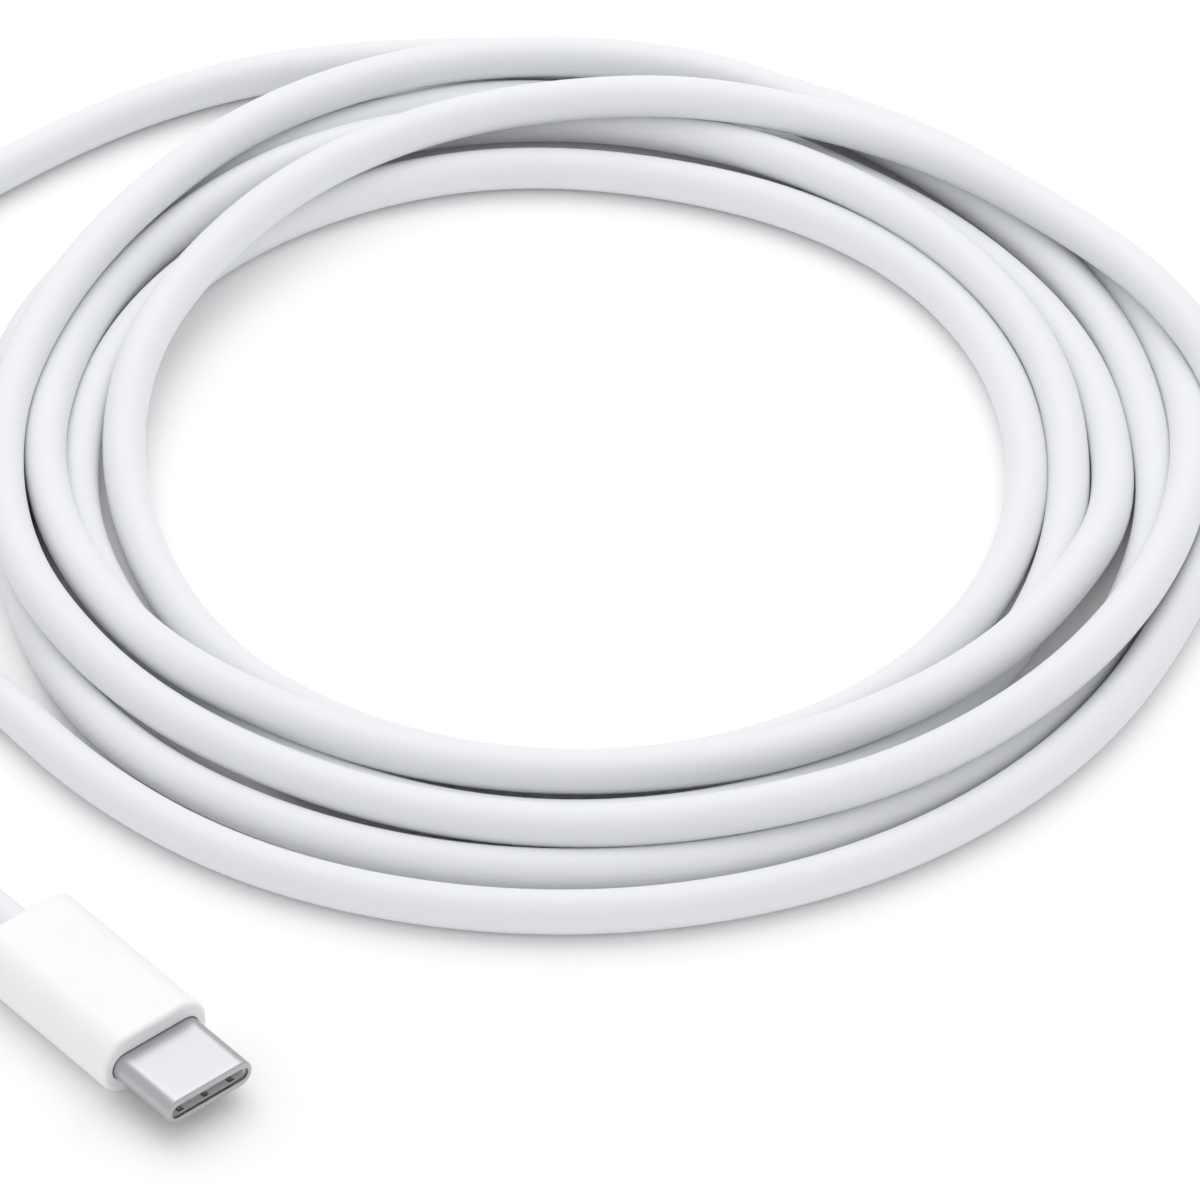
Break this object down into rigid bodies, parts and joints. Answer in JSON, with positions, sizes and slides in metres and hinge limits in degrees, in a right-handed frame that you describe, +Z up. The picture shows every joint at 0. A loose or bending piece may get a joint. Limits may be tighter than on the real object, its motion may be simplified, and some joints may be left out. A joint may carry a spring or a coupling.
{
  "type": "charging_cable",
  "caption": "White charging cable: a round cord in a loose flat coil with an identical small reversible plug at each end",
  "frame": {"origin": "centre of plug A's footprint, on the surface it lies on", "axes": "+X out of plug A's mouth along its axis, +Z up from the surface, +Y across plug A"},
  "size_m": [0.119, 0.1279, 0.007],
  "materials": {
    "overmould": "satin",
    "cord jacket": "satin",
    "plug shell": "satin",
    "carrier": "moulded",
    "contacts": "gold plated",
    "springs": "rolled",
    "board": "satin",
    "tinned sheet": "tinned",
    "inner mould": "moulded",
    "red sleeve": "satin",
    "blue sleeve": "satin",
    "black sleeve": "satin",
    "pale sleeve": "satin",
    "green sleeve": "satin"
  },
  "bodies": {
    "root": {"housing_a": "overmould", "shell_a": "plug shell", "contact_carrier_a": "carrier", "contact_top_1_a": "contacts", "contact_top_4_a": "contacts", "contact_top_5_a": "contacts", "contact_top_6_a": "contacts", "contact_top_7_a": "contacts", "contact_top_9_a": "contacts", "contact_top_12_a": "contacts", "contact_bottom_1_a": "contacts", "contact_bottom_4_a": "contacts", "contact_bottom_5_a": "contacts", "contact_bottom_9_a": "contacts", "contact_bottom_12_a": "contacts", "latch_spring_a": "springs", "ground_spring_top_a": "springs", "ground_spring_bottom_a": "springs", "board_a": "board", "shield_top_a": "tinned sheet", "shield_bottom_a": "tinned sheet", "inner_mould_a": "inner mould", "crimp_ferrule_a": "tinned sheet", "wire_power_a": "red sleeve", "wire_config_a": "blue sleeve", "wire_ground_a": "black sleeve", "wire_data_minus_a": "pale sleeve", "wire_data_plus_a": "green sleeve", "housing_b": "overmould", "shell_b": "plug shell", "contact_carrier_b": "carrier", "contact_top_1_b": "contacts", "contact_top_4_b": "contacts", "contact_top_5_b": "contacts", "contact_top_6_b": "contacts", "contact_top_7_b": "contacts", "contact_top_9_b": "contacts", "contact_top_12_b": "contacts", "contact_bottom_1_b": "contacts", "contact_bottom_4_b": "contacts", "contact_bottom_5_b": "contacts", "contact_bottom_9_b": "contacts", "contact_bottom_12_b": "contacts", "latch_spring_b": "springs", "ground_spring_top_b": "springs", "ground_spring_bottom_b": "springs", "board_b": "board", "shield_top_b": "tinned sheet", "shield_bottom_b": "tinned sheet", "inner_mould_b": "inner mould", "crimp_ferrule_b": "tinned sheet", "wire_power_b": "red sleeve", "wire_config_b": "blue sleeve", "wire_ground_b": "black sleeve", "wire_data_minus_b": "pale sleeve", "wire_data_plus_b": "green sleeve", "cable_lead_a": "cord jacket", "cable_coil": "cord jacket", "cable_lead_b": "cord jacket"}
  },
  "joints": []
}
